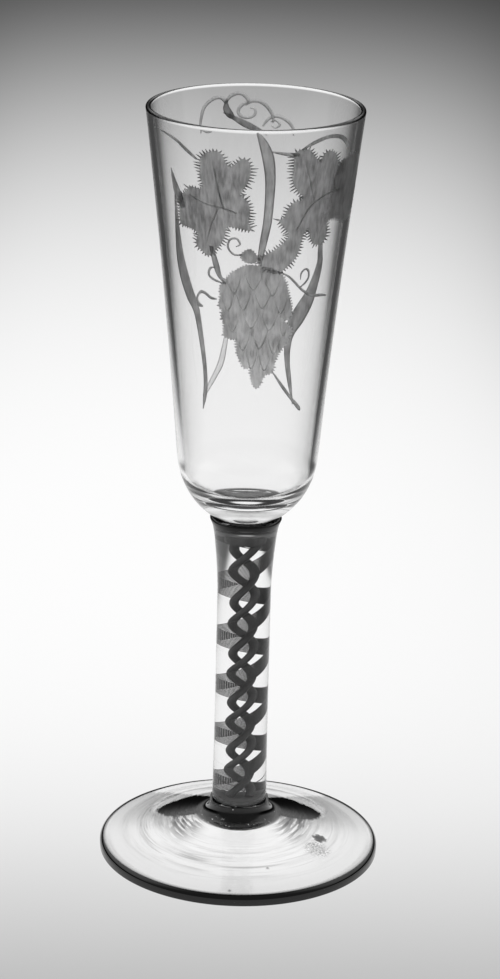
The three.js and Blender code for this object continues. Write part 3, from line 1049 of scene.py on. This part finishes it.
def stemRadius(height):
    flare = max((height - (stem["top"] - stem["flareLength"])) / stem["flareLength"], 0)
    swell = max((stem["bottom"] + stem["swellLength"] - height) / stem["swellLength"], 0)
    flared = (stem["topRadius"] - stem["waistRadius"]) * flare ** stem["flarePower"]
    swollen = (stem["footEndRadius"] - stem["waistRadius"]) * swell ** 2
    lipped = stem["lip"] * math.exp((height - stem["top"]) / stem["lipDepth"])
    return stem["waistRadius"] + flared + swollen + lipped


def stemProfile():
    low, high = stem["bottom"], stem["top"]
    lowRound, topRound = stem["bottomRound"], stem["topRound"]
    lowSteps, topSteps = stem["roundSteps"]
    outline = [(0, low), (stem["footEndRadius"] - lowRound, low)]
    outline += arc((stemRadius(low) - lowRound, low + lowRound), lowRound, lowRound, -90, 0, lowSteps)[1:-1]
    sides = spaced(low + lowRound, high - topRound, stem["sideSteps"])
    outline += [(stemRadius(height), height) for height in sides]
    inward = outline[-1][0] - bowl["neckRadius"]
    outline += arc((bowl["neckRadius"], high - topRound), inward, topRound, 0, 90, topSteps)[1:-1]
    return outline + [(bowl["neckRadius"], high), (0, high)]


def weldShade(tree, clear):
    # painted shade: a nearly black band under the bowl, reaching further down at the sides
    x, y, height = parts(objectPlace(tree))
    frontOrBack = over(absolute(y), largest(reachFromAxis(x, y), mm))
    low = blended(frontOrBack, stem["weldLowAside"], stem["weldLow"])
    band = times(pastStep(minus(height, low), 0.0, stem["weldSoftness"]),
                 softStep(height, stem["weldHigh"], stem["weldSoftness"]))
    return mixedColour(band, clear, stem["weldShadeTint"])


stemGlass = makeClearGlass("stemGlass", stem["look"], weldShade)
addTurned("stem_drawn", stemProfile(), stemGlass, stem["segments"], ["stem_glass"],
          [(stem["bottom"], stem["footEndRadius"]), (stem["top"], bowl["neckRadius"])])
print("stage: stem")


# Enamel twist inside the stem

twist = {
    "pitchAtFoot": 12.9 * mm,
    "pitchAtBowl": 16.9 * mm,
    "pitchPower": 4,
    "bottom": 14.7 * mm,
    "top": 83.3 * mm,
    "steps": 260,
    "cordRadius": 0.74 * mm,
    "cordSides": 20,
    "cords": {
        "twist_cord_1": {"track": 1.5 * mm, "start": 154.7},
        "twist_cord_2": {"track": 1.7 * mm, "start": 299.7},
    },
    "threadCount": 7,
    "strandsEach": 2,
    "bandTrack": 4.2 * mm,
    "bandWidth": 117.0,  # degrees round the stem
    "bandStart": 26.0,
    "strandWidth": 0.2 * mm,
    "strandThickness": 0.4 * mm,
    "strandSides": 10,
    "smoothUpTo": 60,  # degrees
    "smearEdge": 0.25 * mm,
    "smearEdgeSteps": 8,
    "smearSegments": 96,
    "smears": {  # where the canes were nipped off: lowest height, radius, thickness and CAD nodes
        "enamel_end": (13.45 * mm, 5.55 * mm, 0.9 * mm, ["twist_end"]),
        "enamel_top": (82.2 * mm, 3.2 * mm, 2.4 * mm, []),
    },
    # painted shade: the enamel is given the dark greys it shows against the light behind it
    "greys": (0.036, 0.062),
    "strokes": {"size": 900.0, "strength": 0.1, "depth": 0.05 * mm},
    "settings": {"Roughness": 0.55, "Specular IOR Level": 0.15},
}
integrationStep = 0.05 * mm


def pitchAt(height):
    share = (height - stem["bottom"]) / (stem["top"] - stem["bottom"])
    growth = (twist["pitchAtBowl"] - twist["pitchAtFoot"]) * share ** twist["pitchPower"]
    return twist["pitchAtFoot"] + growth


def twistAngles(heights):
    # angle turned since the foot end of the stem, added up in small steps
    angles = []
    angle, height = 0.0, stem["bottom"]
    for target in heights:
        while height < target:
            step = min(integrationStep, target - height)
            angle += 2 * math.pi * step / pitchAt(height + step / 2)
            height += step
        angles.append(angle)
    return angles


enamel = makeStrokedMaterial("opaqueEnamel", twist["greys"], twist["strokes"], twist["settings"])
axisHeights = spaced(twist["bottom"], twist["top"], twist["steps"])
axisNumbers = {
    "turn": twistAngles(axisHeights),
    "girth": [stemRadius(height) / stem["waistRadius"] for height in axisHeights],
}


def strandMesh(name, track, startDegrees, width, thickness, sides):
    axis = lineObject(name, [(0, 0, height) for height in axisHeights], axisNumbers)
    mesh = growMesh(name, axis, twistedStrand, {
        "Track": track,
        "Start": math.radians(startDegrees),
        "Half Width": width / 2,
        "Half Thickness": thickness / 2,
        "Sides": sides,
        "Enamel": enamel,
    })
    smoothUpTo(mesh, twist["smoothUpTo"])
    return mesh


for node, cord in twist["cords"].items():
    girth = 2 * twist["cordRadius"]
    cordMesh = strandMesh(node, cord["track"], cord["start"], girth, girth, twist["cordSides"])
    addPiece(node.replace("twist", "enamel"), cordMesh, [node])

strandStep = twist["bandWidth"] / (twist["threadCount"] * twist["strandsEach"])
for thread in range(twist["threadCount"]):
    strands = []
    for strand in range(twist["strandsEach"]):
        number = thread * twist["strandsEach"] + strand
        start = twist["bandStart"] - twist["bandWidth"] / 2 + (number + 0.5) * strandStep
        strands.append(strandMesh("strand", twist["bandTrack"], start, twist["strandWidth"],
                                  twist["strandThickness"], twist["strandSides"]))
    label = "band_thread_%d" % (thread + 1)
    addPiece(label.replace("band", "enamel"), joinMeshes(label, strands), [label])


def smearProfile(low, high, radius):
    wide, steps = twist["smearEdge"], twist["smearEdgeSteps"]
    flat = radius - wide
    edge = arc((flat, (low + high) / 2), wide, (high - low) / 2, -90, 90, steps)[1:-1]
    return [(0, low), (flat, low)] + edge + [(flat, high), (0, high)]


for name, (low, radius, thickness, nodes) in twist["smears"].items():
    profile = smearProfile(low, low + thickness, radius)
    addTurned(name, profile, enamel, twist["smearSegments"], nodes)
print("stage: enamel twist")


# Foot and pontil scar

foot = {
    "edgeThickness": 2.9 * mm,
    "edgeLowRound": 0.4 * mm,
    "edgeHighRound": 1.4 * mm,
    "restRingInner": 31.3 * mm,
    "collarRadius": 10.1 * mm,
    "collarHeight": 9.6 * mm,
    "seatRadius": 7.3 * mm,
    "kickHeight": 8.2 * mm,
    "scarRadius": 9.0 * mm,
    "kickFlatRadius": 9.4 * mm,
    "kickSlopeRadius": 17 * mm,
    "kickSlopeHeight": 3.5 * mm,
    "slopeSteps": 24,
    "edgeSteps": (5, 10),  # lower and upper round of the edge
    "collarSteps": 14,
    "segments": 224,
    "look": {"edge": 0.3, "edgeShadePower": 4.0, "edgeShadeDepth": 0.8, "bump": 0.15,
             "waves": {"Size": 90.0, "Stretch": 1.0, "Turned": 0.5}},
}
foot["radius"] = footHigh.x
foot["height"] = footHigh.z

marking = {  # what is painted on the foot, painted shade and marks; an edge is given as its place and its softness
    "shadeTint": 0.00002,
    "markTint": 0.004,
    "edgeShadeDepth": 1.7 * mm,  # painted shade at the edge, which is seen through the whole width of the foot
    "weldOuter": (11.1 * mm, 0.12 * mm),  # painted shade over the weld between foot and stem
    "weldFrom": (8.9 * mm, 0.12 * mm),
    "glints": (-14.0, 10.9),  # factor and offset of the speckle that leaves clear glints in the weld's painted shade
    "shadedStreaks": (10.5 * mm, 17.5 * mm, 0.7 * mm),  # painted shade in streaks at both sides of the weld
    "shadeSpread": (0.8, 0.06),  # how far towards the sides they stay, 1 is straight at the side
    "shadeStreakNoise": (1100.0, 2.0, 14.0, 0.47),  # fineness, shortness, contrast and threshold
    "toolStreaks": (1500.0, 1.6, 5.0, 0.5),  # arcs left by the tool that the foot was opened with
    "broadStreaks": (420.0, 1.2, 4.0, 0.48),
    "tooled": (17 * mm, 28 * mm, 1.2 * mm),
    "toolMiddle": (0.0, 8 * mm),
    "toolStrengths": (0.28, 0.5),  # right and left
    "grooveRadius": 24.5 * mm,  # the deepest of these arcs, in front
    "grooveWidth": 0.35 * mm,
    "grooveMiddle": 3 * mm,
    "grooveEnds": (8 * mm, 1.8 * mm),
    "grooveStrength": 0.7,
    "chip": (19.6 * mm, -13.2 * mm),  # a stained chip at the right
    "chipEdge": (3.2 * mm, 0.5 * mm),
    "chipGrit": (14.0, -7.1),
    "spots": [(20.4, -8.4, 1.8), (7.4, -24.0, 0.35), (-1.8, -32.6, 0.35)],  # place and radius in mm
    "spotRaggedness": (1.4 * mm, -0.7 * mm),  # for a spot of the radius below
    "raggedAt": 1.5,
    "spotSoftness": 0.12 * mm,
    "speckleSize": 1300.0,
    "gritSize": 3800.0,
    "belowTop": (-0.8 * mm, 0.1 * mm),  # how far below the upper side the marks reach
}


def bentBetween(start, control, end, steps):
    curve = []
    for t in spaced(0, 1, steps)[1:]:
        curve.append(tuple(
            (1 - t) ** 2 * a + 2 * t * (1 - t) * b + t ** 2 * c for a, b, c in zip(start, control, end)
        ))
    return curve


def footProfile():
    lowRound, highRound = foot["edgeLowRound"], foot["edgeHighRound"]
    lowSteps, highSteps = foot["edgeSteps"]
    outline = [(radius, foot["kickHeight"]) for radius in (0, foot["scarRadius"], foot["kickFlatRadius"])]
    outline += bentBetween(outline[-1], (foot["kickSlopeRadius"], foot["kickSlopeHeight"]),
                           (foot["restRingInner"], 0), foot["slopeSteps"])
    outline += arc((foot["radius"] - lowRound, lowRound), lowRound, lowRound, -90, 0, lowSteps)
    outline += arc((foot["radius"] - highRound, foot["edgeThickness"] - highRound),
                   highRound, highRound, 0, 90, highSteps)
    collar = (foot["collarRadius"], foot["collarHeight"])
    outline += zip(*(spaced(*ends, foot["slopeSteps"])[1:] for ends in zip(outline[-1], collar)))
    outline += bentBetween(collar, (foot["seatRadius"], foot["collarHeight"]),
                           (foot["seatRadius"], foot["height"]), foot["collarSteps"])
    return outline + [(stem["footEndRadius"] - stem["bottomRound"], foot["height"]), (0, foot["height"])]


def footMarks(tree, clear):
    # painted shade at the edge, over the weld and in streaks beside it, then the tool's arcs, the groove,
    # the chip and the spots
    m = marking
    place = objectPlace(tree)
    x, y, z = parts(place)
    reach = largest(reachFromAxis(x, y), mm)
    sideways = over(x, reach)
    forwards = over(y, reach)
    speckle = noise(place, m["speckleSize"], detail=1.0)
    grit = noise(place, m["gritSize"], detail=0.0)

    def streaks(fineness, shortness, contrast, threshold):
        # arcs round the axis: fineness is how close together they lie, shortness how soon each ends
        turned = (times(share, shortness) for share in (sideways, forwards))
        drawn = asVector(tree, times(reach, fineness), *turned)
        lines = noise(drawn, 1.0, detail=2.0)
        return scaled(lines, contrast, -contrast * threshold, clamp=True)

    def between(low, high, softness):
        return times(pastStep(reach, low, softness), softStep(reach, high, softness))

    def toPoint(pointX, pointY):
        return reachFromAxis(minus(x, pointX), minus(y, pointY))

    # painted shade: the edge, the weld with clear glints, and the streaks beside the weld
    atEdge = over(minus(reach, foot["radius"] - m["edgeShadeDepth"]), m["edgeShadeDepth"] / 2, clamp=True)
    onWeld = times(softStep(reach, *m["weldOuter"]), pastStep(z, *m["weldFrom"]))
    atSides = pastStep(absolute(sideways), *m["shadeSpread"])
    shadedStreaks = times(between(*m["shadedStreaks"]), atSides, streaks(*m["shadeStreakNoise"]))
    dark = largest(atEdge, shadedStreaks, times(onWeld, scaled(speckle, *m["glints"], clamp=True)))
    edged = mixedColour(dark, clear, m["shadeTint"])

    strength = blended(softStep(x, *m["toolMiddle"]), *m["toolStrengths"])
    lines = plus(streaks(*m["toolStreaks"]), streaks(*m["broadStreaks"]))
    arcs = times(lines, strength, between(*m["tooled"]))
    offGroove = over(minus(reach, m["grooveRadius"]), m["grooveWidth"])
    offMiddle = absolute(minus(x, m["grooveMiddle"]))
    inFront = times(softStep(y, 0.0, mm), m["grooveStrength"])
    groove = times(fading(squared(offGroove)), inFront, softStep(offMiddle, *m["grooveEnds"]))
    stained = scaled(grit, *m["chipGrit"], clamp=True)
    chip = times(softStep(toPoint(*m["chip"]), *m["chipEdge"]), stained)
    marks = largest(arcs, groove, chip)
    ragged = scaled(speckle, *m["spotRaggedness"])
    for spotX, spotY, radius in m["spots"]:
        away = scaled(ragged, radius / m["raggedAt"], toPoint(spotX * mm, spotY * mm))
        marks = largest(marks, softStep(away, radius * mm, m["spotSoftness"]))

    # the marks are on the upper side only
    slopeWidth = foot["radius"] - foot["edgeHighRound"] - foot["collarRadius"]
    slope = (foot["collarHeight"] - foot["edgeThickness"]) / slopeWidth
    topHeight = scaled(reach, -slope, foot["collarHeight"] + slope * foot["collarRadius"])
    onTop = pastStep(minus(z, topHeight), *m["belowTop"])
    return mixedColour(times(marks, onTop), edged, m["markTint"])


footGlass = makeClearGlass("footGlass", foot["look"], footMarks)
addTurned("foot_conical", footProfile(), footGlass, foot["segments"], ["foot"],
          [(foot["height"], stem["footEndRadius"] - stem["bottomRound"]),
           (foot["kickHeight"], foot["scarRadius"])])

scar = {
    "ridgeRadius": 7.2 * mm,
    "depth": scarHigh.z - scarLow.z,
    "centreDepth": 0.7 * mm,
    "faceSteps": 12,
    "edgeSteps": 8,
    "segments": 96,
    "greys": (0.8, 1.0),
    "strokes": {"size": 700.0, "strength": 0.6, "depth": 0.3 * mm},
    "settings": {"Transmission Weight": 1.0, "IOR": 1.55, "Roughness": 0.22},
}


def scarProfile():
    top = foot["kickHeight"]
    low, centre = top - scar["depth"], top - scar["centreDepth"]
    ridge = scar["ridgeRadius"]
    shares = spaced(0, 1, scar["faceSteps"])
    outline = [(ridge * share, centre + (low - centre) * share ** 2) for share in shares]
    outline += arc((ridge, top), foot["scarRadius"] - ridge, top - low, -90, 0, scar["edgeSteps"])[1:]
    return outline + [(0, top)]


snappedGlass = makeStrokedMaterial("snappedGlass", scar["greys"], scar["strokes"], scar["settings"])
addTurned("pontil_mark", scarProfile(), snappedGlass, scar["segments"], ["pontil_scar"],
          [(foot["kickHeight"], foot["scarRadius"] + mm)])
print("stage: foot")
